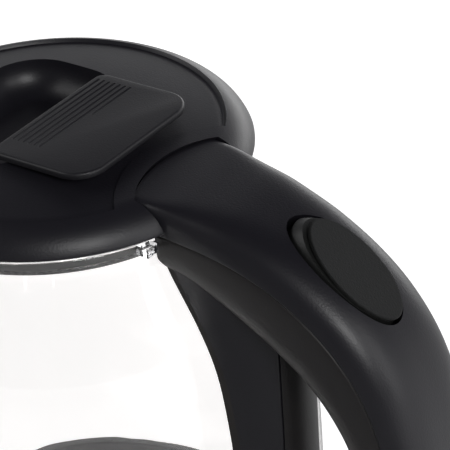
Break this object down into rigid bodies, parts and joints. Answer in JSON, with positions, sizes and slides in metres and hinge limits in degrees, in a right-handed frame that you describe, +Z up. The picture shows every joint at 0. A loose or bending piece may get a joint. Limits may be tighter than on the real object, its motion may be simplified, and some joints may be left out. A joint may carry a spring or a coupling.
{
  "type": "electric kettle",
  "caption": "Clear glass cordless kettle with a wide black lid, sliding lid latch, arched handle with an oval rocker switch, and a round power base.",
  "frame": {"origin": "on the kettle's axis, in the plane that the base's feet stand on", "axes": "+Z up, -X towards the spout, +X towards the handle"},
  "size_m": [0.2143, 0.154, 0.2399],
  "materials": {
    "base_plastic": "satin",
    "lid_plastic": "satin",
    "handle_plastic": "satin",
    "grip_plastic": "satin",
    "tab_plastic": "satin",
    "plug_plastic": "gloss",
    "rocker_plastic": "satin",
    "foot_rubber": "matt",
    "soft_black": "matt",
    "screw_steel": "plain",
    "pin_steel": "plain",
    "spring_steel": "plain",
    "band_steel": "brushed",
    "plate_steel": "brushed",
    "contact_brass": "polished",
    "connector_plastic": "satin",
    "control_plastic": "satin",
    "jug_glass": "clear",
    "light_guide": "frosted",
    "clear_silicone": "matt",
    "element_alloy": "dull",
    "gasket_grey": "matt",
    "wire_sleeve": "matt",
    "filter_mesh": "satin",
    "clip_plastic": "clear"
  },
  "bodies": {
    "base": {"base_upper_shell": "base_plastic", "base_lower_cover": "base_plastic", "base_feet": "foot_rubber", "base_screws": "screw_steel", "base_connector_body": "connector_plastic", "base_contact_sleeve": "contact_brass", "base_contact_ring": "contact_brass", "base_cord_inlet": "soft_black", "base_terminal_block": "connector_plastic"},
    "socket": {"kettle_socket": "connector_plastic", "socket_contact_pin": "contact_brass", "socket_contact_ring": "contact_brass"},
    "kettle": {"glass_jug": "jug_glass", "bottom_collar": "base_plastic", "collar_band": "band_steel", "light_ring": "light_guide", "heater_plate": "plate_steel", "glass_seal": "clear_silicone", "heating_element": "element_alloy", "thermostat_control": "control_plastic", "bottom_cover": "base_plastic", "bottom_cover_screws": "screw_steel", "handle_outer_shell": "handle_plastic", "handle_inner_shell": "grip_plastic", "switch_pin": "pin_steel", "strap_gasket": "gasket_grey", "strap_cover": "grip_plastic", "handle_strap": "handle_plastic", "steam_tube": "clear_silicone", "handle_wires": "wire_sleeve", "steam_switch": "control_plastic", "lid_hinge_pin": "pin_steel", "spout_filter": "filter_mesh", "neck_clip": "clip_plastic"},
    "lid": {"lid_top_shell": "lid_plastic", "lid_inner_plate": "plug_plastic", "lid_screws": "screw_steel", "lid_seal": "clear_silicone", "lid_latch_spring": "spring_steel"},
    "latch": {"lid_latch_tab": "tab_plastic", "lid_latch_bar": "plug_plastic"},
    "rocker": {"switch_rocker": "rocker_plastic"},
    "slider": {"switch_slider": "control_plastic"}
  },
  "joints": [
    {"name": "kettle_lift", "type": "slide", "parent": "base", "child": "socket", "axis": [0, 0, 1], "range_m": [0, 0.15]},
    {"name": "kettle_turn", "type": "hinge", "parent": "socket", "child": "kettle", "pos_m": [0, 0, 0.03], "axis": [0, 0, 1], "continuous": true},
    {"name": "lid_hinge", "type": "hinge", "parent": "kettle", "child": "lid", "pos_m": [0.053, 0, 0.2275], "axis": [0, 1, 0], "range_deg": [0, 75]},
    {"name": "latch_slide", "type": "slide", "parent": "lid", "child": "latch", "axis": [1, 0, 0], "range_m": [0, 0.0035], "stiffness_N_per_m": 400, "springref_m": -0.002, "deforming": ["lid_latch_spring"]},
    {"name": "switch_rock", "type": "hinge", "parent": "kettle", "child": "rocker", "pos_m": [0.09931, 0, 0.21146], "axis": [0, 1, 0], "range_deg": [-12, 0]},
    {"name": "switch_slide", "type": "slide", "parent": "kettle", "child": "slider", "axis": [0.8517, 0, -0.524], "range_m": [0, 0.0015]}
  ],
  "couplings": [
    {"joint": "switch_slide", "follows": "switch_rock", "m_per_rad": -0.0065}
  ]
}
